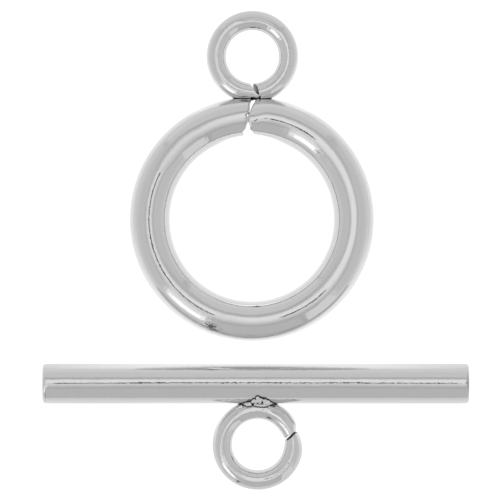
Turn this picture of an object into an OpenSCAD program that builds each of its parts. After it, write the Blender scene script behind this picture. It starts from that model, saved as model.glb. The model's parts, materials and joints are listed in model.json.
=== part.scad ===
// Toggle clasp in polished stainless steel, laid flat as two loose halves.
// The ring half is a split ring of thick rod with a small split loop soldered to it.
// The bar half is a straight rod with the same kind of loop soldered to its middle.
// Units are millimetres. The origin is the middle of the underside, +Y runs from the
// bar half to the ring half and +Z is up.

/* [Ring] */
// Diameter of the hole in the ring, which the bar goes through on its end
ring_hole_d = 8.2; // [7:0.1:14]
// Diameter of the rod that the ring is bent from
ring_wire_d = 2.0; // [1.6:0.1:2.6]
// Width of the cut where the ring's two ends meet
ring_slit_w = 0.1; // [0.05:0.01:0.3]
// Direction of the cut from the ring's centre, in degrees from +X
ring_slit_angle = 90.7; // [85:0.1:95]
// How far the cut leans away from a straight radial one, in degrees
ring_slit_lean_angle = -11; // [-20:1:20]

/* [Bar] */
// Length of the bar from end to end
bar_len = 21.3; // [18:0.1:30]
// Diameter of the bar
bar_d = 2.0; // [1.6:0.1:2.6]
// Radius that the edges of the bar's ends are tumbled to
bar_edge_r = 0.13; // [0.05:0.01:0.3]

/* [Loops] */
// Diameter of the wire that both small loops are bent from
loop_wire_d = 0.97; // [0.8:0.01:1.2]
// Diameter of the hole in the ring's loop
ring_loop_hole_d = 2.66; // [2.2:0.02:4]
// Diameter of the hole in the bar's loop
bar_loop_hole_d = 2.6; // [2.2:0.02:4]
// Width of the cut where a loop's two ends meet
loop_slit_w = 0.09; // [0.05:0.01:0.2]
// Direction of the ring loop's cut from its centre, in degrees from +X
ring_loop_slit_angle = -81; // [-100:1:-60]
// How far the ring loop's cut leans from a radial one, in degrees
ring_loop_slit_lean_angle = 20; // [-30:1:30]
// Direction of the bar loop's cut from its centre, in degrees from +X
bar_loop_slit_angle = 13; // [-20:1:40]
// How far the bar loop's cut leans from a radial one, in degrees
bar_loop_slit_lean_angle = 28; // [-35:1:35]
// How far the ring's loop stands off the middle of the ring, sideways
ring_loop_off = 0.03; // [-0.3:0.01:0.3]
// How far the bar's loop stands off the middle of the bar, sideways
bar_loop_off = 0.1; // [-0.5:0.01:0.5]

/* [Solder] */
// How deep the ring's loop is sunk into the ring by the solder
ring_loop_bite = 0.275; // [0.1:0.005:0.4]
// How deep the bar's loop is sunk into the bar by the solder
bar_loop_bite = 0.19; // [0.1:0.005:0.4]
// Length along the bar of the raised bead of solder in the bar's crease
bead_len = 1.1; // [0.8:0.05:1.5]
// Thickness of that bead
bead_d = 0.52; // [0.4:0.01:0.6]

/* [Lay] */
// Clear gap between the bar and the ring as the two halves lie
halves_gap = 1.12; // [0.5:0.01:4]
// How far the ring's centre lies to the side of the bar's middle
ring_off = -0.2; // [-2:0.05:2]

/* [Hidden] */
$fn = 96;
steel = [0.76, 0.76, 0.76];

// A cut runs past the wire on each side by this much
cut_past = 0.4;

// Radii of the rods, and of the circles that their centrelines follow
ring_wire_r = ring_wire_d / 2;
bar_r = bar_d / 2;
loop_wire_r = loop_wire_d / 2;
ring_mid_r = ring_hole_d / 2 + ring_wire_r;
ring_loop_mid_r = ring_loop_hole_d / 2 + loop_wire_r;
bar_loop_mid_r = bar_loop_hole_d / 2 + loop_wire_r;
ring_out_r = ring_mid_r + ring_wire_r;
ring_loop_out_r = ring_loop_mid_r + loop_wire_r;
bar_loop_out_r = bar_loop_mid_r + loop_wire_r;

// Distance from the ring's centre, and from the bar's axis, to the centre of its loop
ring_to_loop = ring_out_r + ring_loop_out_r - ring_loop_bite;
bar_to_loop = bar_r + bar_loop_out_r - bar_loop_bite;

// The bar half rolls on the bar until the far side of its thinner loop meets the surface
bar_to_far_wire = bar_to_loop + bar_loop_mid_r;
bar_roll = asin((bar_r - loop_wire_r) / bar_to_far_wire);

// Reach of the whole clasp to each side of the bar's axis, which centres it on the origin
reach_up = bar_r + halves_gap + ring_out_r + ring_to_loop + ring_loop_out_r;
reach_down = bar_to_far_wire * cos(bar_roll) + loop_wire_r;
bar_y = (reach_down - reach_up) / 2;
ring_y = bar_y + bar_r + halves_gap + ring_out_r;
left_end = min(-bar_len / 2, ring_off - ring_out_r);
right_end = max(bar_len / 2, ring_off + ring_out_r);
bar_x = -(left_end + right_end) / 2;
ring_x = bar_x + ring_off;

// Distance from the bar's axis to the middle of the loop's wire, at a place along the bar
function wire_out(along) = bar_to_loop - sqrt(pow(bar_loop_mid_r, 2) - pow(along, 2));

// Crease between bar and wire: its distance out from the bar's axis, and up from it
function crease_out(along) =
    (pow(wire_out(along), 2) + pow(bar_r, 2) - pow(loop_wire_r, 2)) / (2 * wire_out(along));
function crease_up(along) = sqrt(max(0, pow(bar_r, 2) - pow(crease_out(along), 2)));

// Lumps of the solder bead, from left to right. Each row gives a lump's place along the
// bar from the loop's middle as a share of bead_len, and its diameter as one of bead_d.
BEAD_ALONG = 0;
BEAD_SIZE = 1;
bead_lumps = [
    [-0.40, 0.74],
    [-0.02, 0.92],
    [0.20, 1.00],
    [0.42, 0.94],
    [0.60, 0.60],
];
// A lump's middle stands above the crease by this share of its radius
bead_lift = 0.3;

// Wire bent round to a ring, flat about the origin, with a leaning cut between its ends
module split_ring(mid_r, wire_r, slit_w, slit_angle, slit_lean_angle) {
    cut_len = (wire_r + cut_past) * 2;
    difference() {
        rotate_extrude()
            translate([mid_r, 0])
                circle(r = wire_r);
        rotate([0, 0, slit_angle])
            translate([mid_r, 0, 0])
                rotate([0, 0, slit_lean_angle])
                    cube([cut_len, slit_w, cut_len], center = true);
    }
}

// Straight rod along X, with its end edges rounded over
module rod(len, d, edge_r) {
    rotate([0, 90, 0])
        rotate_extrude() {
            translate([0, -len / 2])
                square([d / 2 - edge_r, len]);
            translate([0, edge_r - len / 2])
                square([d / 2, len - edge_r * 2]);
            for (side = [-1, 1])
                translate([d / 2 - edge_r, side * (len / 2 - edge_r)])
                    circle(r = edge_r);
        }
}

// Thick split ring that the bar locks across
module main_ring() {
    color(steel)
        split_ring(ring_mid_r, ring_wire_r, ring_slit_w, ring_slit_angle, ring_slit_lean_angle);
}

// Small split loop on the ring, where the chain is hung
module ring_loop() {
    color(steel)
        translate([ring_loop_off, ring_to_loop, 0])
            split_ring(ring_loop_mid_r, loop_wire_r, loop_slit_w,
                       ring_loop_slit_angle, ring_loop_slit_lean_angle);
}

// Straight bar that goes through the ring end first and then lies across it
module bar_rod() {
    color(steel)
        rod(bar_len, bar_d, bar_edge_r);
}

// Small split loop on the bar's middle, where the other end of the chain is hung
module bar_loop() {
    color(steel)
        translate([bar_loop_off, -bar_to_loop, 0])
            split_ring(bar_loop_mid_r, loop_wire_r, loop_slit_w,
                       bar_loop_slit_angle, bar_loop_slit_lean_angle);
}

// Raised lumps of solder in the crease between the bar and its loop, on the upper side
module solder_bead() {
    color(steel)
        for (lump = bead_lumps) {
            along = lump[BEAD_ALONG] * bead_len;
            lump_r = lump[BEAD_SIZE] * bead_d / 2;
            translate([bar_loop_off + along, -crease_out(along),
                       crease_up(along) + bead_lift * lump_r])
                sphere(r = lump_r);
        }
}

// Ring half: the ring and its loop soldered into one piece, lying flat
module toggle_ring() {
    color(steel)
        translate([ring_x, ring_y, ring_wire_r])
            union() {
                main_ring();
                ring_loop();
            }
}

// Bar half: the bar, its loop and the solder in one piece, rolled down onto the loop
module toggle_bar() {
    color(steel)
        translate([bar_x, bar_y, bar_r])
            rotate([bar_roll, 0, 0])
                union() {
                    bar_rod();
                    bar_loop();
                    solder_bead();
                }
}

toggle_ring();
toggle_bar();
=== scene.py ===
# %% [markdown]
# # Toggle clasp
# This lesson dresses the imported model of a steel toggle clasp. A toggle clasp fastens a
# necklace: the bar goes through the ring end first, then turns and lies across it. Both
# halves lie loose on a white table, and the camera looks straight down at them. Polished
# steel has almost no colour of its own, so most of the work goes into clean round wires
# and into the studio that they mirror.

# %% Load the frame
import json
import math

import bmesh
import bpy
from mathutils import Matrix, Vector
from mathutils.bvhtree import BVHTree


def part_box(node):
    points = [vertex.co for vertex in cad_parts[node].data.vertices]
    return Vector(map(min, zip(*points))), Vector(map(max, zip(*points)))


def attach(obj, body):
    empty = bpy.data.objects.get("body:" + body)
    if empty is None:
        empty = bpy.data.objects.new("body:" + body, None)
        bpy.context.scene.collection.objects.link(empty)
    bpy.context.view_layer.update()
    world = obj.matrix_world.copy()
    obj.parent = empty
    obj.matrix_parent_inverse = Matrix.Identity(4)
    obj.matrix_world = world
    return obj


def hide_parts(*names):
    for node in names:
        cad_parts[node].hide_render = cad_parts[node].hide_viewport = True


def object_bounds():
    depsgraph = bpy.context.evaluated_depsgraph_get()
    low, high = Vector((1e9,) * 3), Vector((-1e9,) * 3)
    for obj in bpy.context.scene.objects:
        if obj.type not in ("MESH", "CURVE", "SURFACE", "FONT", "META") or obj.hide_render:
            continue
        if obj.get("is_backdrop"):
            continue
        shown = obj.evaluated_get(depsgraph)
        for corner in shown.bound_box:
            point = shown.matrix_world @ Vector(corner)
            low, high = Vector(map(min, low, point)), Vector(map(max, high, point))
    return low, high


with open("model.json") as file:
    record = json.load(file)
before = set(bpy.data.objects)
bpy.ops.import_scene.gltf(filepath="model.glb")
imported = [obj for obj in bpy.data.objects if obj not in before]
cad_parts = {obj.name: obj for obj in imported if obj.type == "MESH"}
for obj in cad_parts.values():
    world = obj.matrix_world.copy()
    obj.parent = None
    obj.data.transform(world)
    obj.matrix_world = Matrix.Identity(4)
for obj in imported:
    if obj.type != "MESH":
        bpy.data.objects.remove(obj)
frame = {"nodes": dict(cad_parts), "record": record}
cad_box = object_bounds()
scene = bpy.context.scene
print("packed nodes:", sorted(frame["nodes"]))

# %% [markdown]
# ## Sizes
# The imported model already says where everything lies, so the sizes are read from it. The
# two mounts in its record are the middles of the two small loops, and the bar loop's mount
# also tells how far the bar half has rolled over. The shapes are made in millimetres,
# because mesh tools round off badly on parts that are thousandths of a metre, and each
# finished piece is scaled to metres in one step. Only the thickness of the loops' wire
# shows in no box of the frame, so that one number is given here.

# %% Sizes from the frame, in millimetres
MM = 0.001
ring_low, ring_high = (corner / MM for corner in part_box("toggle_ring"))
bar_low, bar_high = (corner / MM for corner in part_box("toggle_bar"))
mounts = {mount["name"]: mount for mount in frame["record"]["mounts"]}

ring_outer_r = (ring_high.x - ring_low.x) / 2
ring_wire_r = (ring_high.z - ring_low.z) / 2
ring_mid_r = ring_outer_r - ring_wire_r
ring_middle = Vector((ring_low.x + ring_outer_r, ring_low.y + ring_outer_r, ring_wire_r))

bar_len = bar_high.x - bar_low.x
bar_r = (bar_high.z - bar_low.z) / 2
bar_middle = Vector(((bar_high.x + bar_low.x) / 2, bar_high.y - bar_r, bar_r))

loop_wire_r = 0.485
ring_loop_middle = Vector(mounts["ring_loop"]["pos_m"]) / MM
bar_loop_middle = Vector(mounts["bar_loop"]["pos_m"]) / MM
bar_loop_up = Vector(mounts["bar_loop"]["axis"])
bar_roll = math.atan2(-bar_loop_up.y, bar_loop_up.z)
bar_to_loop = (bar_loop_middle - bar_middle).yz.length
ring_loop_mid_r = ring_high.y - ring_loop_middle.y - loop_wire_r
bar_loop_mid_r = (bar_middle.y - bar_low.y - loop_wire_r) / math.cos(bar_roll) - bar_to_loop
print("ring across", round(2 * ring_outer_r, 2), "bar", round(bar_len, 2),
      "bar loop radius", round(bar_loop_mid_r, 3),
      "roll", round(math.degrees(bar_roll), 2))

# %% [markdown]
# ## Wire that is bent round
# The ring and both loops are the same thing in two sizes: a length of round wire, cut off
# and bent round until its ends meet. A circle that is spun about the ring's middle gives
# even quads that follow the wire, and those mirror far more smoothly than the triangles of
# a cut solid. The spin has three stretches, because the short ones at the ends need finer
# steps for the shape of the cut.

# %% Bend a wire
POLISHED, CUT, SOLDER = 0, 1, 2
finishes = [bpy.data.materials.new(name)
            for name in ("polished_steel", "cut_steel", "solder_steel")]
END_GAP = 0.8
END_STRETCH = 1.6
END_STEPS = 40


def ring_of_wire(mid_r, wire_r, cut_angle, sides, steps):
    """A tube spun round Z, with a gap of END_GAP at cut_angle."""
    bm = bmesh.new()
    bmesh.ops.create_circle(bm, cap_ends=False, segments=sides, radius=wire_r)
    start = Matrix.Rotation(cut_angle + END_GAP / 2 / mid_r, 4, "Z")
    upright = Matrix.Translation((mid_r, 0, 0)) @ Matrix.Rotation(math.pi / 2, 4, "X")
    bmesh.ops.transform(bm, matrix=start @ upright, verts=bm.verts)
    short = END_STRETCH / mid_r
    long = math.tau - END_GAP / mid_r - 2 * short
    last = bm.verts[:] + bm.edges[:]
    for angle, count in ((short, END_STEPS), (long, steps), (short, END_STEPS)):
        last = bmesh.ops.spin(bm, geom=last, cent=(0, 0, 0), axis=(0, 0, 1), angle=angle,
                              steps=count, use_merge=False)["geom_last"]
    return bm


print("finishes to fill in:", [finish.name for finish in finishes])

# %% [markdown]
# ## Open ends
# A spun tube is open at both ends, and so is a circle that is drawn out to a rod. An open
# edge has a face on one side only, and a walk from each such edge to its neighbours
# gathers the circle of edges of one end. A small sample wire shows that it finds two.

# %% Find the open ends
def open_ends(bm):
    """The open edges of a mesh, as one list of edges for each open end."""
    left = {edge for edge in bm.edges if edge.is_boundary}
    ends = []
    while left:
        first = left.pop()
        end, reach = [first], list(first.verts)
        while reach:
            for edge in reach.pop().link_edges:
                if edge in left:
                    left.remove(edge)
                    end.append(edge)
                    reach.extend(edge.verts)
        ends.append(end)
    return ends


sample = ring_of_wire(ring_mid_r, ring_wire_r, 0.0, 24, 24)
print("open ends of a sample wire:", len(open_ends(sample)))
sample.free()

# %% [markdown]
# ## Closed ends
# A cut wire shows its round end face. One many-cornered face would close it, but such a
# face can't follow the lean and the nose of a hand-made cut. So each end is closed with
# smaller and smaller rings of faces. The first few rings round the edge over, as tumbling
# does, and the rest lie flat until the cut is shaped.

# %% Close the ends of a wire
END_RINGS = 14
DUB_STEPS = 5


def grown(bm, edges):
    """Extrudes edges where they lie, and gives the new verts, edges and faces."""
    new = bmesh.ops.extrude_edge_only(bm, edges=edges)["geom"]
    kinds = (bmesh.types.BMVert, bmesh.types.BMEdge, bmesh.types.BMFace)
    return [[item for item in new if isinstance(item, kind)] for kind in kinds]


def close_end(bm, edges, outward, dub, face_finish):
    """Rounds the rim of an open end over by dub and closes it with rings of faces."""
    verts = list({vert for edge in edges for vert in edge.verts})
    middle = sum((vert.co for vert in verts), Vector()) / len(verts)
    radius = (verts[0].co - middle).length
    turns = [(step + 1) / DUB_STEPS * math.pi / 2 for step in range(DUB_STEPS)]
    rings = [(radius - dub * (1 - math.cos(turn)), dub * math.sin(turn), POLISHED)
             for turn in turns]
    rings += [((radius - dub) * (1 - (ring + 1) / END_RINGS), dub, face_finish)
              for ring in range(END_RINGS - 1)]
    size, height = radius, 0.0
    for new_size, new_height, finish in rings:
        verts, edges, faces = grown(bm, edges)
        for face in faces:
            face.material_index = finish
        centre = middle + outward * height
        bmesh.ops.scale(bm, vec=(new_size / size,) * 3, verts=verts,
                        space=Matrix.Translation(-centre))
        bmesh.ops.translate(bm, vec=outward * (new_height - height), verts=verts)
        size, height = new_size, new_height
    for face in bmesh.ops.contextual_create(bm, geom=edges)["faces"]:
        face.material_index = face_finish


print("rings of faces on each end:", DUB_STEPS + END_RINGS)

# %% [markdown]
# ## Tables and soft edges
# Hand work is uneven, and a short table describes it better than one formula. Three small
# helpers read such tables here. The first runs straight between two rows. The others make
# a smooth step and a soft-edged stretch, so that no bend or mark begins abruptly.

# %% Read tables and fade edges
def table_value(table, at):
    """The value of a two-column table at a place, straight between its rows."""
    if at <= table[0][0]:
        return table[0][1]
    for (low, low_value), (high, high_value) in zip(table, table[1:]):
        if at <= high:
            return low_value + (high_value - low_value) * (at - low) / (high - low)
    return table[-1][1]


def smooth_step(low, high, value):
    """0 below low, 1 above high, and smooth between them."""
    share = min(1.0, max(0.0, (value - low) / (high - low)))
    return share * share * (3 - 2 * share)


def inside(value, low, high, fade):
    """1 between low and high, with a smooth fade inside both edges."""
    return smooth_step(low, low + fade, value) * (1 - smooth_step(high - fade, high, value))


print("a quarter of the way up a smooth step:", smooth_step(0, 1, 0.25))

# %% [markdown]
# ## Worn flats
# The tumbler wore faint flats into the wires. Most lean by two to four degrees, too
# little to see as a shape, but enough to turn the mirror image aside: on many stretches
# the dark line of the camera is gone from the crest. A few lean more, up to twenty degrees
# beside a cut, where the jaws pressed as well. A flat could be cut into the mesh, but its
# edges would show. So each point only notes the lean, as a vector for the material to use.

# %% Lean of the flats
CREST_LEAN = 0.065
FLAT_FADE_ACROSS = 0.2


def flat_lean(degrees, across, flats):
    """How far the worn flats lean a point's normal, along the wire and outward."""
    along, outward = 0.0, 0.0
    for low, high, fade, across_low, across_high, lean_along, lean_out in flats:
        from_low = (degrees - low) % 360
        share = (inside(from_low, 0, high - low, fade)
                 * inside(across, across_low, across_high, FLAT_FADE_ACROSS))
        along += share * lean_along
        outward += share * lean_out
    return along, outward


print("lean of a crest flat in degrees:", round(math.degrees(math.atan(CREST_LEAN)), 1))

# %% [markdown]
# ## Ends that were cut by hand
# No two wire ends match. Cutters leave one face leaning and push a nose on to the other,
# so a gap can be a V at one side and nearly shut at the other. Each end therefore has a
# short table of how far along the wire its face reaches, from the wire's inner side at -1
# to its outer side at 1. Two helpers find a point's place on its wire and the end that it
# is nearer to, because both the notes and the shaping start from those.

# %% Describe the two ends
# A stretch that lies beyond the wire's sides, so that it holds no point
NOWHERE = (3.0, 4.0)


def cut_end(face, lean=0.0, nip_out=0.0, nip_in=0.0, nip_up=0.0, press=0.0, nip_reach=0.4,
            dark=NOWHERE, rim=NOWHERE):
    """One wire end: its face table in millimetres, how the jaws left it, and where across
    the wire painted shade darkens its face and the rim of its face."""
    return dict(face=face, lean=lean, nip_out=nip_out, nip_in=nip_in, nip_up=nip_up,
                press=press, nip_reach=nip_reach, dark=dark, rim=rim)


def place_on_wire(point, mid_r, wire_r, cut_angle):
    """A point's angle, its turn from the cut, and how far across and up the wire it is."""
    angle = math.atan2(point.y, point.x)
    turn = (angle - cut_angle) % math.tau
    return angle, turn, (point.xy.length - mid_r) / wire_r, point.z / wire_r


def nearest_end(turn, mid_r, ends):
    """The end that a turn is nearer to, its side of the gap, and how far away it starts."""
    if turn < math.pi:
        return ends[0], 1, turn * mid_r - END_GAP / 2
    return ends[1], -1, (math.tau - turn) * mid_r - END_GAP / 2


print("what describes a cut end:", list(cut_end([])))

# %% [markdown]
# ## Notes for the material
# A material can't know how a wire was handled, so each point of the mesh notes it as an
# attribute: its place along, across and up its own wire, the lean of its flat, how finely it
# is worn, where a painted sheen brightens the top of the crest, and where painted shade
# darkens the face or rim of a cut. The notes are taken while the wire is still plain,
# because its ends are easy to measure then.

# %% Note what the material needs
# Painted shade on the faces and rims of some cuts, where the narrow gaps lie in shade
RIM_FADE = 0.1
RIM_SHADE = 0.66
RIM_LINE = 0.06
FACE_SHADE_DEPTH = 0.7
# A painted sheen: a brighter line along the top of the crest, between these widths across
# the wire
SHEEN_FROM, SHEEN_WIDTH = 0.02, 0.06


def note_points(bm, mid_r, wire_r, cut_angle, dub, ends, flats, crest_sheen, worn):
    """Notes on each point of a plain wire what its material has to know."""
    place = bm.verts.layers.float_vector.new("wire_place")
    lean = bm.verts.layers.float_vector.new("crest_lean")
    crease = bm.verts.layers.float.new("crease")
    painted_sheen = bm.verts.layers.float.new("painted_sheen")
    wear = bm.verts.layers.float.new("fine_wear")
    for vert in bm.verts:
        angle, turn, across, up = place_on_wire(vert.co, mid_r, wire_r, cut_angle)
        vert[place] = (turn * mid_r, across * wire_r, vert.co.z)
        vert[wear] = worn
        if up > 0:
            along, outward = flat_lean(math.degrees(angle), across, flats)
            vert[lean] = (outward * math.cos(angle) - along * math.sin(angle),
                          outward * math.sin(angle) + along * math.cos(angle), 0)
            # A painted sheen brightens the top of the crest
            vert[painted_sheen] = crest_sheen * (
                1 - smooth_step(SHEEN_FROM, SHEEN_WIDTH / wire_r, abs(across)))
        end, _, from_end = nearest_end(turn, mid_r, ends)
        # Painted shade on the cut's face, and a painted dark line along its rim
        face_shade = (smooth_step(0.0, dub * FACE_SHADE_DEPTH, -from_end)
                    * inside(across, *end["dark"], RIM_FADE))
        rim_shade = (RIM_SHADE * (1 - smooth_step(0.0, RIM_LINE, abs(from_end)))
                   * inside(across, *end["rim"], RIM_FADE))
        vert[crease] = max(face_shade, rim_shade)


print("width of a dark rim in mm:", RIM_LINE)

# %% [markdown]
# ## Slide and nip
# The last stretch of wire slides along until its face stands where the table says, and
# the slide fades out further back. Sliding along a wire doesn't change its roundness, so
# the mirror image in it stays clean right up to the cut. Only a nip, where the jaws bit,
# changes the form: it draws the wire in at its sides and top, and fades out quickly.

# %% Shape the two ends
BITE_POWER = 2.5
PRESS_ACROSS = (-0.5, 1.0)


def shape_ends(bm, mid_r, wire_r, cut_angle, dub, ends):
    """Slides, leans and nips the wire near its two ends."""
    for vert in bm.verts:
        angle, turn, across, up = place_on_wire(vert.co, mid_r, wire_r, cut_angle)
        end, side, from_end = nearest_end(turn, mid_r, ends)
        if from_end > END_STRETCH:
            continue
        near = (1 - max(from_end, 0.0) / END_STRETCH) ** 2
        face_at = table_value(end["face"], across) + end["lean"] * up
        angle += near * (face_at / vert.co.xy.length - side * (END_GAP / 2 - dub) / mid_r)
        bite = max(0.0, 1 - max(from_end, 0.0) / end["nip_reach"]) ** BITE_POWER
        pressed = end["press"] * smooth_step(*PRESS_ACROSS, across)
        up *= 1 - bite * (end["nip_up"] + pressed)
        across *= 1 - bite * (end["nip_out"] if across > 0 else end["nip_in"])
        out = mid_r + across * wire_r
        vert.co = (out * math.cos(angle), out * math.sin(angle), up * wire_r)


print("length of wire that a cut shapes:", END_STRETCH)

# %% [markdown]
# ## A whole wire
# One function now makes any of the three bent wires, and another puts a finished mesh at
# its place and gives it the three finishes. The place goes into the mesh, and the object
# itself stays at the origin.

# %% Put a wire together
def bent_wire(mid_r, wire_r, cut_angle, dub, face_finish, ends, flats, crest_sheen, worn,
              sides, steps):
    """A whole ring or loop of wire, flat about the origin, with its ends cut and closed.
    The ends are the one that the wire's turn starts with, and the one that it ends with."""
    bm = ring_of_wire(mid_r, wire_r, cut_angle, sides, steps)
    for edges in open_ends(bm):
        verts = {vert for edge in edges for vert in edge.verts}
        middle = sum((vert.co for vert in verts), Vector()) / len(verts)
        turn = (math.atan2(middle.y, middle.x) - cut_angle) % math.tau
        forward = Vector((-middle.y, middle.x, 0)).normalized()
        close_end(bm, edges, -forward if turn < math.pi else forward, dub, face_finish)
    note_points(bm, mid_r, wire_r, cut_angle, dub, ends, flats, crest_sheen, worn)
    shape_ends(bm, mid_r, wire_r, cut_angle, dub, ends)
    bmesh.ops.recalc_face_normals(bm, faces=bm.faces)
    return bm


def as_object(bm, name, place):
    """Makes an object in millimetres from a bmesh, with the bmesh moved to its place."""
    bmesh.ops.transform(bm, matrix=place, verts=bm.verts)
    mesh = bpy.data.meshes.new(name)
    bm.to_mesh(mesh)
    bm.free()
    for finish in finishes:
        mesh.materials.append(finish)
    made = bpy.data.objects.new(name, mesh)
    scene.collection.objects.link(made)
    print(name, "faces:", len(mesh.polygons))
    return made

# %% [markdown]
# ## The ring
# The heavy ring is 2 mm wire. Its left end leans and has a small step in its middle. Its
# right end was nipped to a blunt chisel: the nose almost touches the other end, with a V
# above it and a smaller one below, and its outer side is pressed down. The tables are read
# along the ring's turn, which runs to the left here. The tumbler reached right into this
# wide cut, so its faces are polished.

# %% Bend the heavy ring
RING_CUT = math.radians(90)
ring_left_end = cut_end(
    [(-1.0, 0.37), (-0.85, 0.39), (-0.76, 0.425), (-0.70, 0.395), (-0.63, 0.325),
     (-0.58, 0.30), (-0.48, 0.285), (-0.38, 0.255), (-0.28, 0.21), (-0.18, 0.20),
     (0.02, 0.19), (0.06, 0.25), (0.15, 0.25), (0.20, 0.145), (0.37, 0.085),
     (0.57, 0.085), (0.77, 0.045), (1.0, 0.01)],
    rim=(-0.55, 0.8))
ring_right_end = cut_end(
    [(-1.0, -0.05), (-0.85, -0.03), (-0.78, 0.0), (-0.73, 0.055), (-0.68, 0.085),
     (-0.63, 0.095), (-0.55, 0.08), (-0.38, 0.11), (-0.28, 0.175), (0.17, 0.17),
     (0.22, 0.105), (0.345, 0.06), (0.47, 0.015), (0.545, -0.01), (0.62, -0.055),
     (0.77, -0.15), (1.0, -0.24)],
    nip_in=0.07, nip_up=0.02, press=0.12, nip_reach=0.9, rim=(-0.75, -0.45))
RING_DUB = 0.08
RING_WEAR = 0.12
RING_SIDES, RING_STEPS = 96, 360
# The worn flats, each as degrees from and to round the ring and how many degrees it fades
# in, from and to across the wire, and how far it leans along the wire and outward
RING_FLATS = (
    (-46, 54, 6, -0.3, 0.3, CREST_LEAN, 0.0),
    (76, 84, 4, -0.3, 0.3, 0.03, 0.0),
    (92, 156, 6, -0.3, 0.3, CREST_LEAN, 0.0),
    (246, 289, 6, -0.3, 0.3, CREST_LEAN, 0.0),
    (120, 258, 4, -0.5, 0.5, 0.0, -0.035),
    (36, 51, 4, -1.1, -0.2, 0.045, 0.0),
    (90, 152, 10, -0.6, 0.12, 0.0, 0.06),
    (80, 94, 4, -1.1, 0.9, 0.0, 0.12),
    (94, 132, 10, 0.0, 0.5, 0.0, 0.05),
)
main_ring = as_object(
    bent_wire(ring_mid_r, ring_wire_r, RING_CUT, RING_DUB, POLISHED,
              (ring_left_end, ring_right_end), RING_FLATS, crest_sheen=0.0, worn=RING_WEAR,
              sides=RING_SIDES, steps=RING_STEPS),
    "main_ring", Matrix.Translation(ring_middle))

# %% [markdown]
# ## The ring's loop
# The small loop is 1 mm wire, soldered to the ring right over its own cut. Both its faces
# lean the same way, so the grey face of the right arm can be seen from above, and the left
# arm leaves a small white V at the inside of the loop. Both loops' cuts are too narrow for
# the tumbler, so their faces keep the raw finish of the cutters.

# %% Bend the ring's loop
RING_LOOP_CUT = math.radians(-81)
ring_loop_right_end = cut_end(
    [(-1.0, -0.13), (-0.83, -0.12), (-0.45, -0.088), (0.0, -0.085), (0.30, -0.07),
     (0.44, -0.006), (0.6, -0.021), (1.0, -0.042)],
    lean=0.125)
ring_loop_left_end = cut_end(
    [(-1.0, -0.42), (-0.75, -0.36), (-0.46, -0.305), (0.0, -0.225), (0.28, -0.155),
     (0.42, -0.018), (0.6, -0.027), (1.0, -0.048)],
    lean=0.125, nip_out=0.31, nip_reach=1.0)
RING_LOOP_DUB = 0.022
# How strongly a painted sheen brightens this loop's crest
RING_LOOP_SHEEN = 0.25
LOOP_WEAR = 1.6
LOOP_SIDES, LOOP_STEPS = 72, 190
# After the crest's own flat, these move the bands of the mirror image across the wire, and
# the last one turns the tip of the left arm
RING_LOOP_FLATS = (
    (-99, 229, 4, -0.3, 0.3, CREST_LEAN, 0.0),
    (15, 80, 4, -1.1, -0.1, -0.06, 0.0),
    (283, 475, 14, -0.22, 0.27, 0.0, 0.11),
    (38, 120, 18, -0.32, 0.3, 0.0, 0.17),
    (283, 475, 14, -0.40, 0.0, 0.0, -0.10),
    (261, 273, 3, 0.12, 0.6, 0.0, -0.38),
)
ring_loop = as_object(
    bent_wire(ring_loop_mid_r, loop_wire_r, RING_LOOP_CUT, RING_LOOP_DUB, CUT,
              (ring_loop_right_end, ring_loop_left_end), RING_LOOP_FLATS,
              crest_sheen=RING_LOOP_SHEEN, worn=LOOP_WEAR, sides=LOOP_SIDES, steps=LOOP_STEPS),
    "ring_loop", Matrix.Translation(ring_loop_middle))

# %% [markdown]
# ## The bar
# The bar is a straight cut of the same 2 mm wire. Tumbling has rounded its end edges over,
# and its last 0.7 mm are a hair thinner than the rest. A circle is extruded along in steps
# that are finer near its middle, where the loop is soldered on, and both ends are closed
# by the same rings as the wire's.

# %% Draw out the bar
BAR_DUB = 0.13
BAR_SIDES = 96
BAR_FINE_HALF = 1.4
BAR_FINE_STEPS = 56
BAR_PLAIN_STEPS = 48
BAR_CREST_LEAN = (-0.03, -0.03)
BAR_CREST_ACROSS = (-0.5, 0.5, 0.3)
BAR_TAPER = 0.02
BAR_TAPER_REACH = 0.7
BAR_WEAR = 1.0


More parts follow.
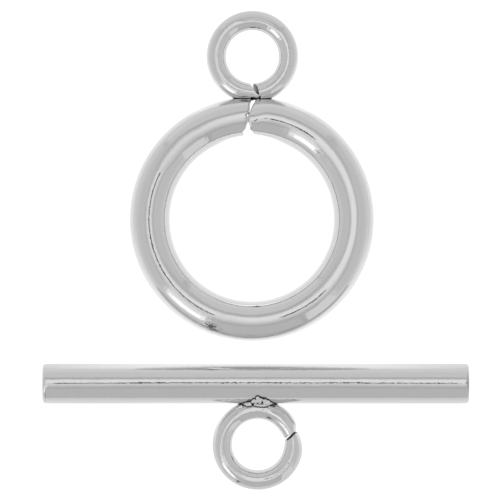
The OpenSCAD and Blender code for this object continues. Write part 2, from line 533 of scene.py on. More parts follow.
def straight_bar(length, radius, dub, sides):
    """A rod along X about the origin, closed at both ends, with its end edges rounded."""
    bm = bmesh.new()
    bmesh.ops.create_circle(bm, cap_ends=False, segments=sides, radius=radius)
    half = length / 2 - dub
    lay = Matrix.Translation((-half, 0, 0)) @ Matrix.Rotation(math.pi / 2, 4, "Y")
    bmesh.ops.transform(bm, matrix=lay, verts=bm.verts)
    edges = bm.edges[:]
    plain = [(half - BAR_FINE_HALF) / BAR_PLAIN_STEPS] * BAR_PLAIN_STEPS
    fine = [2 * BAR_FINE_HALF / BAR_FINE_STEPS] * BAR_FINE_STEPS
    for step in plain + fine + plain:
        verts, edges, _ = grown(bm, edges)
        bmesh.ops.translate(bm, vec=(step, 0, 0), verts=verts)
    for edges in open_ends(bm):
        outward = Vector((1, 0, 0)) if edges[0].verts[0].co.x > 0 else Vector((-1, 0, 0))
        close_end(bm, edges, outward, dub, POLISHED)
    place = bm.verts.layers.float_vector.new("wire_place")
    lean = bm.verts.layers.float_vector.new("crest_lean")
    wear = bm.verts.layers.float.new("fine_wear")
    for vert in bm.verts:
        vert[place] = vert.co
        vert[wear] = BAR_WEAR
        if vert.co.z > 0:
            at_ends, more_inside = BAR_CREST_LEAN
            sideways = at_ends + more_inside * (1 - (2 * vert.co.x / length) ** 2)
            vert[lean] = (0, sideways * inside(vert.co.y / radius, *BAR_CREST_ACROSS), 0)
        from_end = max(0.0, length / 2 - abs(vert.co.x))
        taper = max(0.0, 1 - from_end / BAR_TAPER_REACH) ** 2
        slim = 1 - BAR_TAPER * taper / radius
        vert.co = (vert.co.x, vert.co.y * slim, vert.co.z * slim)
    bmesh.ops.recalc_face_normals(bm, faces=bm.faces)
    return bm


bar_place = Matrix.Translation(bar_middle) @ Matrix.Rotation(bar_roll, 4, "X")
bar_rod = as_object(straight_bar(bar_len, bar_r, BAR_DUB, BAR_SIDES), "bar_rod", bar_place)

# %% [markdown]
# ## The bar's loop
# This loop is the same 1 mm wire, and its cut faces to the right. The jaws pinched the
# upper arm's outer side in, and the two faces run together towards the outside.

# %% Bend the bar's loop
BAR_LOOP_CUT = math.radians(13)
bar_loop_upper_end = cut_end(
    [(-1.0, 0.03), (-0.7, 0.11), (-0.4, 0.205), (0.0, 0.235), (0.39, 0.30), (1.0, 0.33)],
    lean=-0.05, nip_out=0.42, nip_in=0.12, nip_up=0.03, nip_reach=0.8, rim=(-0.8, -0.2))
bar_loop_lower_end = cut_end(
    [(-1.0, -0.11), (-0.68, -0.07), (0.0, 0.08), (0.39, 0.175), (0.61, 0.195), (1.0, 0.18)],
    nip_out=0.36, nip_in=0.12, nip_reach=0.9, dark=(-0.75, 0.7))
BAR_LOOP_DUB = 0.035
# How strongly a painted sheen brightens this loop's crest
BAR_LOOP_SHEEN = 1.0
BAR_LOOP_FLATS = (
    (212, 558, 4, -0.3, 0.3, CREST_LEAN, 0.0),
    (30, 80, 4, -1.1, -0.1, -0.05, 0.0),
    (8, 78, 14, -0.32, 0.35, 0.0, 0.28),
)
bar_loop_place = bar_place @ Matrix.Translation(
    (bar_loop_middle.x - bar_middle.x, -bar_to_loop, 0))
bar_loop = as_object(
    bent_wire(bar_loop_mid_r, loop_wire_r, BAR_LOOP_CUT, BAR_LOOP_DUB, CUT,
              (bar_loop_upper_end, bar_loop_lower_end), BAR_LOOP_FLATS,
              crest_sheen=BAR_LOOP_SHEEN, worn=LOOP_WEAR, sides=LOOP_SIDES, steps=LOOP_STEPS),
    "bar_loop", bar_loop_place)

# %% [markdown]
# ## The solder bead
# The solder on the bar half froze as a row of small lumps in the crease. Carving them
# would be slow, so they are given as balls of many sizes, one row of a table for each, in
# the places where they sit on the real clasp.

# %% Lumps of the bead
# Each row gives a lump's place along the bar from its middle, its place out from the
# bar's axis as seen from above, its height over the axis, its radius in millimetres, and
# which of the bead's four blobs it belongs to
BEAD_LUMPS = (
    (-0.66, 0.96, 0.24, 0.06, 0),
    (-0.53, 0.97, 0.30, 0.095, 0),
    (-0.44, 0.93, 0.37, 0.09, 0),
    (-0.42, 1.03, 0.31, 0.11, 0),
    (-0.30, 1.02, 0.34, 0.11, 0),
    (-0.30, 0.94, 0.42, 0.09, 0),
    (-0.14, 0.87, 0.57, 0.10, 1),
    (-0.08, 0.81, 0.65, 0.10, 1),
    (0.00, 0.89, 0.57, 0.10, 1),
    (0.10, 0.70, 0.78, 0.11, 1),
    (0.12, 0.82, 0.68, 0.11, 1),
    (0.20, 0.89, 0.58, 0.10, 1),
    (0.27, 0.77, 0.72, 0.10, 1),
    (-0.03, 1.03, 0.34, 0.085, 2),
    (0.10, 1.05, 0.34, 0.10, 2),
    (0.25, 1.06, 0.34, 0.105, 2),
    (0.40, 1.06, 0.34, 0.105, 2),
    (0.53, 1.05, 0.32, 0.10, 2),
    (0.44, 0.82, 0.67, 0.12, 3),
    (0.46, 0.93, 0.54, 0.115, 3),
    (0.60, 0.88, 0.55, 0.12, 3),
    (0.60, 0.98, 0.36, 0.12, 3),
    (0.74, 0.93, 0.37, 0.105, 3),
    (0.86, 0.94, 0.28, 0.08, 3),
    (0.97, 0.95, 0.24, 0.055, 3),
)
print("lumps:", len(BEAD_LUMPS), "blobs:", len({lump[-1] for lump in BEAD_LUMPS}))

# %% [markdown]
# ## Melting the lumps
# Balls that only overlap still look like balls. A voxel remesh melts them into one skin,
# and a few smoothing rounds give it the shape of metal that ran and froze.

# %% Melt the lumps together
VOXEL = 0.014
FLOW_FACTOR = 0.5
FLOW_ROUNDS = 2


def applied(helper):
    """Puts an object's modifiers into its mesh and removes them."""
    graph = bpy.context.evaluated_depsgraph_get()
    mesh = bpy.data.meshes.new_from_object(helper.evaluated_get(graph))
    old = helper.data
    helper.modifiers.clear()
    helper.data = mesh
    bpy.data.meshes.remove(old)
    return helper


def melted(bm, name, voxel, rounds):
    """Turns overlapping closed shells into one smooth closed mesh."""
    helper = as_object(bm, name, Matrix.Identity(4))
    remesh = helper.modifiers.new("melt", "REMESH")
    remesh.mode = "VOXEL"
    remesh.voxel_size = voxel
    smooth = helper.modifiers.new("flow", "SMOOTH")
    smooth.factor = FLOW_FACTOR
    smooth.iterations = rounds
    return applied(helper)


bead = bmesh.new()
blobs = {}
for along, out, up, radius, blob in BEAD_LUMPS:
    centre = bar_middle + Vector((along, -out, up))
    blobs.setdefault(blob, []).append((centre, radius))
    bmesh.ops.create_icosphere(bead, subdivisions=4, radius=radius,
                               matrix=Matrix.Translation(centre))
solder_bead = melted(bead, "solder_bead", VOXEL, FLOW_ROUNDS)
bead_mesh = solder_bead.data
print("melted bead faces:", len(bead_mesh.polygons))

# %% [markdown]
# ## Valleys of the bead
# Painted shade lies in the valleys between the blobs, and it draws their outlines. A point
# lies in a valley when it is about as close to one blob as to the next, so the difference of
# the two becomes the mask. The remesh dropped the materials and the notes, so the bead gets
# them here.

# %% Mark the valleys between the blobs
# The painted shade that outlines the blobs: its width and strength
VALLEY_WIDTH = 0.06
VALLEY_SHADE = 0.7
bead_points = [value for vert in bead_mesh.vertices for value in vert.co]
bead_place = bead_mesh.attributes.new("wire_place", "FLOAT_VECTOR", "POINT")
bead_place.data.foreach_set("vector", bead_points)
valley = bead_mesh.attributes.new("crease", "FLOAT", "POINT")
for vert, value in zip(bead_mesh.vertices, valley.data):
    nearest = sorted(min((vert.co - centre).length - radius for centre, radius in blob)
                     for blob in blobs.values())
    value.value = VALLEY_SHADE * max(0.0, 1 - (nearest[1] - nearest[0]) / VALLEY_WIDTH)
bead_mesh.materials.clear()
for finish in finishes:
    bead_mesh.materials.append(finish)
bead_mesh.polygons.foreach_set("material_index", [SOLDER] * len(bead_mesh.polygons))
print("points in valleys:", sum(value.value > 0 for value in valley.data))

# %% [markdown]
# ## A clean union
# Soldered metal is one piece, so the shells are united with a boolean and nothing is left
# inside. At the seams it can leave specks beside the body, slivers, and idle points in the
# middle of an edge. All of them are cleaned away, so that the mesh is one closed shell
# that any other tool can read. A walk from one far point finds the body, and what it
# doesn't reach is a speck.

# %% Clean a union
SLIVER = 3e-4


def clean_union(bm):
    """Deletes specks beside the body, merges slivers and takes out idle points."""
    first = max(bm.verts, key=lambda vert: vert.co.x)
    body, reach = {first}, [first]
    while reach:
        vert = reach.pop()
        for edge in vert.link_edges:
            other = edge.other_vert(vert)
            if other not in body:
                body.add(other)
                reach.append(other)
    specks = [vert for vert in bm.verts if vert not in body]
    bmesh.ops.delete(bm, geom=specks, context="VERTS")
    bmesh.ops.dissolve_degenerate(bm, dist=SLIVER, edges=bm.edges)
    idle = [vert for vert in bm.verts if len(vert.link_edges) == 2]
    bmesh.ops.dissolve_verts(bm, verts=idle)


print("edges under this length are merged, in mm:", SLIVER)

# %% [markdown]
# ## One body for each half
# The union keeps the even quads everywhere but right at the seams. A seam is then a sharp
# edge, and everything flatter than that is shaded smooth. The creases get painted shade:
# each point also notes how close it lies to the other shell, as a mask that darkens the
# material there.

# %% Unite the shells
SHARP_ANGLE = math.radians(38)
# How far the painted shade reaches out from each crease, in millimetres
RING_CREASE, BAR_CREASE = 0.08, 0.12


def shell_tree(helper):
    """A search tree of an object's faces."""
    bm = bmesh.new()
    bm.from_mesh(helper.data)
    tree = BVHTree.FromBMesh(bm)
    bm.free()
    return tree


def united(name, reach, base, *others):
    """One closed body from several shells, in metres, with painted shade in its creases to a
    reach.
    """
    trees = [shell_tree(helper) for helper in (base, *others)]
    for other in others:
        join = base.modifiers.new("join", "BOOLEAN")
        join.operation = "UNION"
        join.solver = "MANIFOLD"
        join.object = other
    applied(base)
    for other in others:
        bpy.data.objects.remove(other)
    bm = bmesh.new()
    bm.from_mesh(base.data)
    clean_union(bm)
    crease = bm.verts.layers.float.get("crease") or bm.verts.layers.float.new("crease")
    for vert in bm.verts:
        found = [tree.find_nearest(vert.co, reach)[3] for tree in trees]
        gaps = sorted(reach if gap is None else gap for gap in found)
        vert[crease] = max(vert[crease], 1 - gaps[1] / reach)
    for face in bm.faces:
        face.smooth = True
    open_count = sum(not edge.is_manifold for edge in bm.edges)
    bm.to_mesh(base.data)
    bm.free()
    base.data.transform(Matrix.Scale(MM, 4))
    base.data.set_sharp_from_angle(angle=SHARP_ANGLE)
    base.name = base.data.name = name
    triangles = sum(len(face.vertices) - 2 for face in base.data.polygons)
    print(name, "triangles", triangles, "open edges", open_count)
    return base


ring_half = united("ring_half", RING_CREASE, main_ring, ring_loop)
bar_half = united("bar_half", BAR_CREASE, bar_rod, bar_loop, solder_bead)

# %% [markdown]
# ## Helpers for shader nodes
# A material is a net of nodes, and most of them are sums, fades and mixes. A helper for
# each kind lets one line place a node and link it. A value can be a number or another
# node's output, and plug tells the two apart.

# %% Place and link nodes
def plug(tree, value, socket):
    """Links a socket to a node's output, or sets it to a plain value."""
    if isinstance(value, bpy.types.NodeSocket):
        tree.links.new(value, socket)
    else:
        socket.default_value = value


def maths(tree, operation, *values):
    """The result of a Math node on numbers or sockets."""
    node = tree.nodes.new("ShaderNodeMath")
    node.operation = operation
    for socket, value in zip(node.inputs, values):
        plug(tree, value, socket)
    return node.outputs[0]


def vector_maths(tree, operation, *vectors):
    """The result of a Vector Math node, which is a number for a length or distance."""
    node = tree.nodes.new("ShaderNodeVectorMath")
    node.operation = operation
    for socket, vector in zip(node.inputs, vectors):
        plug(tree, vector, socket)
    return node.outputs["Value" if operation in ("LENGTH", "DISTANCE") else "Vector"]


def ramp(tree, value, from_low, from_high, to_low=0.0, to_high=1.0):
    """A smooth step from one value to another."""
    node = tree.nodes.new("ShaderNodeMapRange")
    node.interpolation_type = "SMOOTHSTEP"
    for label, given in (("Value", value), ("From Min", from_low), ("From Max", from_high),
                         ("To Min", to_low), ("To Max", to_high)):
        plug(tree, given, node.inputs[label])
    return node.outputs["Result"]


def mixed(tree, share, under, over, kind="FLOAT"):
    """A value or colour that covers another by a share."""
    node = tree.nodes.new("ShaderNodeMix")
    node.data_type = kind
    for label, value in (("Factor", share), ("A", under), ("B", over)):
        plug(tree, value, node.inputs[label])
    return node.outputs["Result"]


print("node helpers:", [helper.__name__ for helper in (maths, vector_maths, ramp, mixed)])

# %% [markdown]
# ## Noise, notes and groups
# Three more helpers: one for noise that is stretched along the wire, one that reads what
# the mesh notes for each point, and one for a shader node group with named sockets.

# %% Read notes and build groups
def noise(tree, vector, stretch, scale, detail, shift=0.0):
    """Noise on a stretched vector; scale is how many marks there are to its unit."""
    mapping = tree.nodes.new("ShaderNodeMapping")
    mapping.inputs["Scale"].default_value = stretch
    mapping.inputs["Location"].default_value = (shift, shift, shift)
    tree.links.new(vector, mapping.inputs["Vector"])
    node = tree.nodes.new("ShaderNodeTexNoise")
    tree.links.new(mapping.outputs["Vector"], node.inputs["Vector"])
    node.inputs["Scale"].default_value = scale
    node.inputs["Detail"].default_value = detail
    return node.outputs["Fac"]


def noted(tree, name, output="Fac"):
    """What the mesh notes for each point under a name."""
    node = tree.nodes.new("ShaderNodeAttribute")
    node.attribute_name = name
    return node.outputs[output]


def node_group(name, inputs, outputs):
    """A shader node group with float inputs and outputs, and its two end nodes."""
    group = bpy.data.node_groups.new(name, "ShaderNodeTree")
    for label, value in inputs:
        group.interface.new_socket(label, in_out="INPUT",
                                   socket_type="NodeSocketFloat").default_value = value
    for label in outputs:
        group.interface.new_socket(label, in_out="OUTPUT", socket_type="NodeSocketFloat")
    return group, group.nodes.new("NodeGroupInput"), group.nodes.new("NodeGroupOutput")


print("notes on a wire's points:", sorted(note.name for note in ring_half.data.attributes
                                          if not note.is_internal))

# %% [markdown]
# ## Polished steel
# Stainless steel mirrors about seven tenths of the light, with hardly any tint. What tells
# it from chrome plating is the fine work of the tumbler and the drawing die: lines along
# the wire, a faint unevenness, and a haze of tiny scratches. All three come from one
# shader node group, because the polished wires, the raw cut faces and the solder share
# them with other amounts. The group reads the place that each point notes along and
# across its own wire, so the lines follow every bend.

# %% Amounts of the marks
# Each row: how the mark is stretched along, across and up the wire, how many marks there
# are to a millimetre, how detailed they are, and a shift that makes them differ. The
# depths are in metres, as the finished mesh is
MARKS = {
    "die lines": ((0.12, 1, 1), 7.0, 2.0, 0.0),
    "waves": ((0.35, 1, 1), 1.3, 1.0, 3.7),
    "peel": ((1, 1, 1), 5.0, 1.0, 8.1),
    "grit": ((0.7, 1, 1), 13.0, 0.0, 5.3),
    "scratches along": ((0.6, 7, 2.5), 5.0, 0.0, 11.0),
    "scratches across": ((4, 0.6, 1.2), 6.0, 0.0, 23.0),
    "scratched places": ((1, 1, 1), 0.9, 0.0, 31.0),
    # This row breaks the crest's painted sheen into dashes
    "sheen places": ((0.5, 1, 1), 1.1, 2.0, 17.0),
}
LONG_SCRATCH, CROSS_SCRATCH = 0.008, 0.006
SCRATCHED = (0.52, 0.62)
# Where the painted sheen shows, as a share of its noise
SHEEN_PLACES = (0.35, 0.6)
DIE_DEPTH, SCRATCH_DEPTH = 0.5e-6, 0.4e-6
WAVE_DEPTH, PEEL_DEPTH, GRIT_DEPTH = 8e-6, 3.2e-6, 1.8e-6
print("kinds of marks:", len(MARKS))

# %% [markdown]
# ## Building the marks
# Every mark is a noise on the wire's own place. The broad ones become height, which turns
# the mirror image a little. A scratch has to be thin, so it is drawn where a noise crosses
# its middle value. The group gives out heights and masks only, and each material decides
# what they do.

# %% Marks of drawing and tumbling
marks, marks_in, marks_out = node_group(
    "wire_marks", (("Die lines", 1.0), ("Unevenness", 1.0), ("Scratches", 1.0)),
    ("Height", "Scuffs", "Tone", "Sheen"))
on_wire = noted(marks, "wire_place", "Vector")


def mark(name):
    """The noise of one row of marks."""
    return noise(marks, on_wire, *MARKS[name])


def thin_lines(name, width):
    """Thin lines where a noise crosses its middle value."""
    off_middle = maths(marks, "ABSOLUTE", maths(marks, "SUBTRACT", mark(name), 0.5))
    return ramp(marks, off_middle, 0.0, width, 1.0, 0.0)


die_lines = mark("die lines")
scratches = maths(marks, "MULTIPLY",
                  maths(marks, "MAXIMUM", thin_lines("scratches along", LONG_SCRATCH),
                        thin_lines("scratches across", CROSS_SCRATCH)),
                  ramp(marks, mark("scratched places"), *SCRATCHED))
scuffs = maths(marks, "MULTIPLY", scratches, marks_in.outputs["Scratches"])
worn_grit = maths(marks, "MULTIPLY", mark("grit"),
                  maths(marks, "MULTIPLY", noted(marks, "fine_wear"), GRIT_DEPTH))
uneven = maths(marks, "MULTIPLY_ADD", mark("waves"), WAVE_DEPTH,
               maths(marks, "MULTIPLY_ADD", mark("peel"), PEEL_DEPTH, worn_grit))
height = maths(marks, "MULTIPLY_ADD", die_lines,
               maths(marks, "MULTIPLY", marks_in.outputs["Die lines"], DIE_DEPTH),
               maths(marks, "MULTIPLY", uneven, marks_in.outputs["Unevenness"]))
height = maths(marks, "MULTIPLY_ADD", scuffs, -SCRATCH_DEPTH, height)
# The painted sheen: a brighter line on the top of the crest, broken into dashes
sheen_line = maths(marks, "MULTIPLY", noted(marks, "painted_sheen"),
              ramp(marks, mark("sheen places"), *SHEEN_PLACES))
for label, value in (("Height", height), ("Scuffs", scuffs), ("Tone", die_lines),
                     ("Sheen", sheen_line)):
    marks.links.new(value, marks_out.inputs[label])
print("marks group nodes:", len(marks.nodes))

# %% [markdown]
# ## Painted shade, painted reflections and small marks
# Two things darken the steel. Painted shade lies in the creases beside the solder, in the
# bead's valleys and on some faces and rims of the cuts, and it follows the mask on the mesh.
# A few spots and short lines sit at fixed places, each one a soft oval broken up by noise: a
# fine scratch, more painted shade in crevices, painted dark reflections along a crest and
# where highlights end, and dark lines on the bar's ends and on its loop.

# %% Where the steel is dark
# Each row: place in x and y, half length and half width in millimetres, turn in degrees, how
# dark it is, and how broken up. A note above each row says what it marks
STAINS_AND_PAINTED_SHADE = (
    # A painted dark reflection where the window's highlight ends on the ring
    (-2.19, -3.79, 0.42, 0.25, -24, 0.85, 4.0),
    # Painted shade in the crevice beside the ring's loop
    (-0.53, 7.475, 0.52, 0.12, -4, 0.8, 0.8),
    # A dark line along the bar loop's outer edge
    (1.87, -8.58, 0.42, 0.055, -52, 0.5, 0.8),
    # A painted dark reflection where the ring's inner highlight ends
    (3.12, 4.92, 0.14, 0.12, 0, 0.4, 4.0),
    # A fine scratch
    (-3.86, -0.73, 0.25, 0.03, 90, 0.4, 4.0),
    # A painted dark reflection where the highlight on the bar's loop ends
    (-0.88, -11.57, 0.13, 0.11, 0, 0.85, 3.0),
    # A short dark line on the bar's loop
    (0.64, -8.35, 0.27, 0.06, -22, 0.85, 2.0),
    # Dark lines at the bar's ends
    (10.575, -6.69, 1.0, 0.06, 90, 0.5, 0.5),
    (10.49, -6.60, 0.09, 0.06, 60, 0.7, 0.8),
    (-10.50, -7.23, 0.42, 0.035, 90, 0.45, 0.8),
    # Painted dark reflections along the crest of the ring's right arm
    (0.01, 6.49, 0.20, 0.045, 31, 0.85, 0.6),
    (0.48, 6.58, 0.24, 0.035, -2, 0.5, 2.0),
    # Painted shade in the crevices beside the solder bead
    (-0.34, -7.475, 0.26, 0.08, 22, 0.9, 1.2),
    (0.35, -7.365, 0.32, 0.08, -17, 0.9, 1.2),
)
# How strongly the painted shade mask darkens, and the soft edge of each spot
CREASE_DARK = (0.35, 0.85)
SPOT_EDGE = (0.2, 0.9)
GRAINS_A_METRE = 11000.0
dark, _, dark_out = node_group("marks_and_painted_shade", (), ("Dark",))
object_place = dark.nodes.new("ShaderNodeTexCoord").outputs["Object"]
darkness = ramp(dark, noted(dark, "crease"), *CREASE_DARK)
grain_off = maths(dark, "SUBTRACT",
                  noise(dark, object_place, (1, 1, 1), GRAINS_A_METRE, 2.0), 0.5)
for x, y, half_long, half_wide, turn, depth, broken in STAINS_AND_PAINTED_SHADE:
    local = dark.nodes.new("ShaderNodeMapping")
    local.vector_type = "TEXTURE"
    local.inputs["Location"].default_value = (x * MM, y * MM, 0)
    local.inputs["Rotation"].default_value = (0, 0, math.radians(turn))
    local.inputs["Scale"].default_value = (half_long * MM, half_wide * MM, 1)
    dark.links.new(object_place, local.inputs["Vector"])
    reach = vector_maths(dark, "LENGTH", local.outputs["Vector"])
    rough_edge = maths(dark, "MULTIPLY_ADD", grain_off, broken, reach)
    darkness = maths(dark, "MAXIMUM", darkness,
                     ramp(dark, rough_edge, *SPOT_EDGE, depth, 0.0))
dark.links.new(darkness, dark_out.inputs["Dark"])
print("dark group nodes:", len(dark.nodes))

# %% [markdown]
# ## Three finishes
# The polished wires, the raw faces in the loops' cuts and the frozen solder look like one
# grey metal at three stages. One function fills a finish in: the tone, which the die lines
# vary a little and a painted sheen brightens along the crest, the painted shade and dark
# marks on top, the roughness, and the normal, which first takes the lean of the flats and
# then the fine bumps.

# %% Build a finish
STEEL_TONE = 0.72
TONE_SPREAD = 0.03
# The tone of painted shade and dark marks
DARK_TONE = 0.05
# The tone of the painted sheen on the crest
SHEEN_TONE = 0.97
SCUFF_ROUGHNESS = 0.15
# How much rougher painted shade and dark marks make the steel
DARK_ROUGHNESS = 0.4


def grey_colour(tone):
    """A grey of a tone, as a colour for a socket."""
    return (tone, tone, tone, 1)


def steel(material, tone, roughness, die, uneven, scratch, sheen_share):
    """Fills a finish in: its mirror tone, its roughness and the amounts of its marks."""
    material.use_nodes = True
    tree = material.node_tree
    shader = tree.nodes["Principled BSDF"]
    shader.inputs["Metallic"].default_value = 1.0
    group = tree.nodes.new("ShaderNodeGroup")
    group.node_tree = marks
    group.inputs["Die lines"].default_value = die
    group.inputs["Unevenness"].default_value = uneven
    group.inputs["Scratches"].default_value = scratch
    dark_group = tree.nodes.new("ShaderNodeGroup")
    dark_group.node_tree = dark
    colour = mixed(tree, group.outputs["Tone"], grey_colour(tone * (1 - TONE_SPREAD)),
                   grey_colour(tone * (1 + TONE_SPREAD)), "RGBA")
    # A painted sheen brightens the crest
    colour = mixed(tree, maths(tree, "MULTIPLY", group.outputs["Sheen"], sheen_share),
                   colour, grey_colour(SHEEN_TONE), "RGBA")
    # Painted shade and the dark marks darken the colour
    colour = mixed(tree, dark_group.outputs["Dark"], colour, grey_colour(DARK_TONE), "RGBA")
    tree.links.new(colour, shader.inputs["Base Color"])
    rough = maths(tree, "MULTIPLY_ADD", group.outputs["Scuffs"], SCUFF_ROUGHNESS, roughness)
    rough = maths(tree, "MULTIPLY_ADD", dark_group.outputs["Dark"], DARK_ROUGHNESS, rough)
    tree.links.new(rough, shader.inputs["Roughness"])
    facing = tree.nodes.new("ShaderNodeNewGeometry").outputs["Normal"]
    lean = vector_maths(tree, "ADD", facing, noted(tree, "crest_lean", "Vector"))
    bump = tree.nodes.new("ShaderNodeBump")
    bump.inputs["Strength"].default_value = 1.0
    bump.inputs["Distance"].default_value = 1.0
    tree.links.new(vector_maths(tree, "NORMALIZE", lean), bump.inputs["Normal"])
    tree.links.new(group.outputs["Height"], bump.inputs["Height"])
    tree.links.new(bump.outputs["Normal"], shader.inputs["Normal"])


# From the tone of painted shade and dark marks, through the steel, to the painted sheen
print("tones, from scale to rubbed steel:", DARK_TONE, STEEL_TONE, SHEEN_TONE)

# %% [markdown]
# ## Amounts for each finish
# The tumbled wires are bright and smooth, with all their marks. The faces in the loops' cuts
# were sheared off, so they are dull and full of lines, and their dark tone paints the shade
# inside the narrow cuts. The solder froze by itself, so it is a little bumpy, and no drawing
# die has left lines on it.

# %% Three finishes of one grey metal
# Each row: the finish, its tone and roughness, its amounts of die lines, unevenness and
# scratches, and how much the painted sheen on the crest brightens it
FINISH_ROWS = (
    (POLISHED, STEEL_TONE, 0.09, 1.0, 1.0, 1.0, 1.0),
    # The cut faces' dark tone is partly painted shade inside the narrow cuts
    (CUT, 0.14, 0.32, 6.0, 2.0, 2.0, 0.0),
    (SOLDER, 0.75, 0.10, 0.0, 2.0, 1.0, 0.0),
)
for finish, *amounts in FINISH_ROWS:
    steel(finishes[finish], *amounts)
print("finishes:", [finish.name for finish in ring_half.data.materials])

# %% [markdown]
# ## The table
# The clasp lies on a white cloth. One flat square is enough for it, as long as it reaches
# far beyond the picture's edges, because the steel mirrors it from low down. Its own
# colour is dark and its glow does the work, so that the cloth has hardly any shadow, as
# in a tent that is lit from all sides.

# %% Lay the white table
FLOOR_HALF = 0.35
FLOOR_BASE = 0.15
FLOOR_ROUGHNESS = 0.8
floor_bm = bmesh.new()
bmesh.ops.create_grid(floor_bm, x_segments=1, y_segments=1, size=FLOOR_HALF)
floor_mesh = bpy.data.meshes.new("table_top")
floor_bm.to_mesh(floor_mesh)
floor_bm.free()
table_top = bpy.data.objects.new("table_top", floor_mesh)
scene.collection.objects.link(table_top)
white = bpy.data.materials.new("white_table")
white.use_nodes = True
cloth = white.node_tree
white_shader = cloth.nodes["Principled BSDF"]
white_shader.inputs["Base Color"].default_value = grey_colour(FLOOR_BASE)
white_shader.inputs["Roughness"].default_value = FLOOR_ROUGHNESS
white_shader.inputs["Specular IOR Level"].default_value = 0.0
white_shader.inputs["Emission Color"].default_value = grey_colour(1)
table_top.data.materials.append(white)
table_top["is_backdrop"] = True
print("table across in mm:", round(2 * FLOOR_HALF / MM))

# %% [markdown]
# ## The glow of the cloth
# The camera sees the cloth as plain white. The steel mirrors the same cloth as a soft
# grey, darker far away and brighter near the wires. One glow can't be both, so a Light
# Path node gives the camera one and the mirror the other. The mirror's glow is a sum of
# soft patches, each set by how far a point of the cloth lies from a wire or a place.

# %% Light the white table
SEEN_GLOW = 1.0
GLOW_FAR = 0.70
GLOW_REACH = (1.7 * MM, 8 * MM)
NEAR_RING, NEAR_BAR = 0.21, 0.12
# The wires throw light on the cloth and shade it. Each row: the middle, how far from it
# the patch begins and ends, how soft its edges are, in millimetres, and how much it adds
SLIT_PLACE = Vector((-0.25, 5.0, 0))
GLINTS = (
    (ring_middle, 3.7, 5.1, 0.5, 0.13),
    (ring_loop_middle, -2.0, 1.5, 0.5, -0.07),
    (ring_loop_middle, 2.5, 4.0, 0.6, 0.12),
    (SLIT_PLACE, -2.0, 0.95, 0.65, 0.6),
)
cloth_place = cloth.nodes.new("ShaderNodeTexCoord").outputs["Object"]


def distance_from(middle):
    """How far a point of the cloth lies from a place, in metres."""
    return vector_maths(cloth, "DISTANCE", cloth_place, (middle.x * MM, middle.y * MM, 0))


def off_line(value, middle):
    """How far a value lies from a middle value, to either side."""
    return maths(cloth, "ABSOLUTE", maths(cloth, "SUBTRACT", value, middle))


cloth_split = cloth.nodes.new("ShaderNodeSeparateXYZ")
cloth.links.new(cloth_place, cloth_split.inputs[0])
off_ring = off_line(distance_from(ring_middle), ring_mid_r * MM)
off_bar = off_line(cloth_split.outputs["Y"], bar_middle.y * MM)
glow = maths(cloth, "ADD", GLOW_FAR, ramp(cloth, off_ring, *GLOW_REACH, NEAR_RING, 0.0))
glow = maths(cloth, "ADD", glow, ramp(cloth, off_bar, *GLOW_REACH, NEAR_BAR, 0.0))
for middle, low, high, soft, amount in GLINTS:
    away = distance_from(middle)
    begins = ramp(cloth, away, (low - soft) * MM, (low + soft) * MM)
    ends = ramp(cloth, away, (high - soft) * MM, (high + soft) * MM, amount, 0.0)
    glow = maths(cloth, "ADD", glow, maths(cloth, "MULTIPLY", begins, ends))
by_camera = cloth.nodes.new("ShaderNodeLightPath").outputs["Is Camera Ray"]
cloth.links.new(mixed(cloth, by_camera, glow, SEEN_GLOW),
                white_shader.inputs["Emission Strength"])
print("cloth nodes:", len(cloth.nodes))

# %% [markdown]
# ## The light tent
# Polished metal shows nothing but its surroundings, so a light tent is built around it.
# Real panels would do, but a sky that is drawn by direction is simpler to tune. Each wall,
# panel and gap of the tent is one row of a table, with the directions that it fills and
# the grey that it gives in the steel. The camera looks down through a hole in the tent's
# roof, which the wires mirror as the thin dark line along their crest.

# %% Rows of the tent
def radiance(grey):
    """The light that polished steel shows as a screen's grey, where 255 is plain white."""
    share = grey / 255
    return ((share + 0.055) / 1.055) ** 2.4 / STEEL_TONE


# Directions are in degrees: the azimuth from +X through +Y, and the tilt from straight
# up. Each row: azimuth from and to, tilt from and to, how soft its edges are, and its
# grey above LOW_TILT and at the horizon. WALL_GREY holds where there is no row
WALL_GREY = (186, 197)
LOW_TILT = (58, 88)
WALL_ROWS = (
    (45, 139, 0, 95, 1.5, 192, 202),
    (247, 298, 0, 95, 1.5, 177, 177),
    (298, 318, 32, 95, 1.0, 205, 205),
    (297, 299, 30, 95, 0.5, 150, 150),
    (42.5, 47.0, 30, 92, 1.5, 173, 188),
    (138, 140, 30, 92, 1.2, 178, 178),
)
KEY_ROWS = (
    (219, 246, 13, 95, 1.5, 211, 178),
    (219, 246, 22, 40, 1.5, 218, 218),
    (221.5, 243.5, 38, 62, 3.0, 262, 262),
)
# The roof's rows are given on a flat chart: X and Y over height, from and to, softness in
# X and in Y, and grey. The last one is the hole for the camera
ROOF_FRAME_ROWS = (
    (-0.72, 0.72, 0.30, 0.80, 0.06, 0.06, 177),
    (-0.45, 0.45, -0.62, 0.68, 0.10, 0.06, 167),
    (-0.45, 0.45, -0.47, 0.48, 0.10, 0.04, 174),
    (-0.34, 0.34, -0.30, 0.47, 0.07, 0.11, 196),
)
ROOF_ROWS = (
    (-0.25, 0.25, -0.115, 0.39, 0.07, 0.08, 212),
    (-0.19, 0.19, 0.06, 0.30, 0.06, 0.07, 220),
    (-0.055, 0.055, -0.06, 0.03, 0.015, 0.012, 40),
)
print("light of the brightest panel:", round(radiance(262), 2))

# %% [markdown]
# ## Directions in the sky
# A sky's texture coordinate is the direction that a ray flies in. Two angles suit the
# walls: the azimuth round the tent, and the tilt from straight up. The roof is a flat
# sheet, so its directions are divided by their height, which gives the place where the
# ray meets a roof that is one unit up.

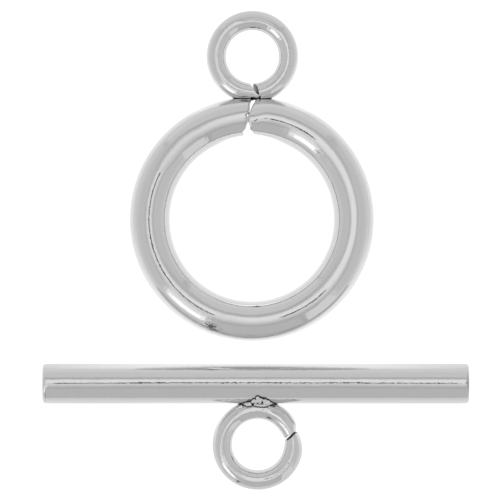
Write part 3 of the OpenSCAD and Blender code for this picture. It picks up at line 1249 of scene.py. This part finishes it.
# %% Read directions in the sky
LOWEST = 0.05
world = bpy.data.worlds.new("light_tent")
scene.world = world
world.use_nodes = True
sky = world.node_tree
sky.nodes.clear()
split = sky.nodes.new("ShaderNodeSeparateXYZ")
sky.links.new(sky.nodes.new("ShaderNodeTexCoord").outputs["Generated"], split.inputs[0])
way_x, way_y, way_z = split.outputs
azimuth = maths(sky, "FLOORED_MODULO",
                maths(sky, "DEGREES", maths(sky, "ARCTAN2", way_y, way_x)), 360.0)
tilt = maths(sky, "DEGREES", maths(sky, "ARCCOSINE", way_z))
over = maths(sky, "MAXIMUM", way_z, LOWEST)
roof_x = maths(sky, "DIVIDE", way_x, over)
roof_y = maths(sky, "DIVIDE", way_y, over)
print("nodes that read a direction:", len(sky.nodes))

# %% [markdown]
# ## Rows become masks
# Each row becomes a mask that is 1 inside its directions and fades out at its edges. A mix
# node then covers what was painted before with the row's own light, by as much as the
# mask says. The roof's rows also fade out a little over halfway down the sky, because a
# flat chart would run on without an end.

# %% Painters for walls and roof
TILT_SOFTNESS = 1.5
ROOF_LIMIT = (0.5, 0.6)


def between(value, low, high, soft):
    """A mask that is 1 between two values, with soft edges."""
    rise = ramp(sky, value, low - soft, low + soft)
    fall = ramp(sky, value, high - soft, high + soft, 1.0, 0.0)
    return maths(sky, "MULTIPLY", rise, fall)


def falling(grey_above, grey_low):
    """A wall's light, from its grey above to its grey at the horizon."""
    if grey_above == grey_low:
        return radiance(grey_above)
    return ramp(sky, tilt, *LOW_TILT, radiance(grey_above), radiance(grey_low))


def wall_rows(light, rows):
    """Paints rows of the tent that are given by azimuth and tilt."""
    for az_low, az_high, tilt_low, tilt_high, soft, grey_above, grey_low in rows:
        mask = maths(sky, "MULTIPLY", between(azimuth, az_low, az_high, soft),
                     between(tilt, tilt_low, tilt_high, soft * TILT_SOFTNESS))
        light = mixed(sky, mask, light, falling(grey_above, grey_low))
    return light


def roof_rows(light, rows):
    """Paints rows of the tent that are given on the roof's flat chart."""
    for x_low, x_high, y_low, y_high, soft_x, soft_y, grey in rows:
        mask = maths(sky, "MULTIPLY", between(roof_x, x_low, x_high, soft_x),
                     between(roof_y, y_low, y_high, soft_y))
        mask = maths(sky, "MULTIPLY", mask, ramp(sky, way_z, *ROOF_LIMIT))
        light = mixed(sky, mask, light, radiance(grey))
    return light


print("rows to paint:", len(WALL_ROWS + KEY_ROWS + ROOF_FRAME_ROWS + ROOF_ROWS))

# %% [markdown]
# ## Painting the sky
# The rows are painted one over another, as a stage painter would: first the walls, then
# the roof's frame, the bright window at the lower left, and last the roof's cloth with its
# hole. The camera itself sees a plain white sky.

# %% Paint the tent
SEEN_SKY = 1.1


def background(strength):
    """A plain white background of a strength."""
    node = sky.nodes.new("ShaderNodeBackground")
    node.inputs["Color"].default_value = (1, 1, 1, 1)
    plug(sky, strength, node.inputs["Strength"])
    return node.outputs[0]


light = wall_rows(falling(*WALL_GREY), WALL_ROWS)
light = roof_rows(light, ROOF_FRAME_ROWS)
light = wall_rows(light, KEY_ROWS)
light = roof_rows(light, ROOF_ROWS)
choice = sky.nodes.new("ShaderNodeMixShader")
for socket, value in zip(choice.inputs, (
        sky.nodes.new("ShaderNodeLightPath").outputs["Is Camera Ray"],
        background(light), background(SEEN_SKY))):
    sky.links.new(value, socket)
sky_out = sky.nodes.new("ShaderNodeOutputWorld")
sky.links.new(choice.outputs[0], sky_out.inputs["Surface"])
print("tent nodes:", len(sky.nodes))

# %% [markdown]
# ## The camera
# The picture was taken from straight above with a long lens: both loops and both ends of
# the bar show no side at all. A camera far off with a narrow view does the same. Its
# height follows from the width of table that it has to show.

# %% The camera
VIEW_WIDTH = 25.0
VIEW_MIDDLE = Vector((-0.29, 0.02, 1.0))
LENS, SENSOR = 400.0, 36.0
camera_data = bpy.data.cameras.new("overhead_camera")
camera_data.lens = LENS
camera_data.sensor_width = SENSOR
camera_data.clip_start = 0.01
camera_data.clip_end = 10.0
camera = bpy.data.objects.new("overhead_camera", camera_data)
scene.collection.objects.link(camera)
distance = VIEW_WIDTH * LENS / SENSOR
camera.location = (VIEW_MIDDLE + Vector((0, 0, distance))) * MM
scene.camera = camera
scene.view_settings.view_transform = "Standard"
print("camera height in mm:", round(VIEW_MIDDLE.z + distance, 1))

# %% [markdown]
# ## Tie the pieces to the frame
# Each half stands for its imported node, which is hidden, and rides on the row's one body.
# The two boxes are printed so that they can be compared: dressing a part never changes its
# size.

# %% Tie the pieces to the frame
for piece, node, slot in ((ring_half, "toggle_ring", "ring_steel"),
                          (bar_half, "toggle_bar", "bar_steel")):
    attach(piece, "root")
    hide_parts(node)
sizes = {"cad": [list(corner) for corner in cad_box],
         "visual": [list(corner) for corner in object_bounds()]}
for name, (low, high) in sizes.items():
    print(name, [round((b - a) / MM, 3) for a, b in zip(low, high)])
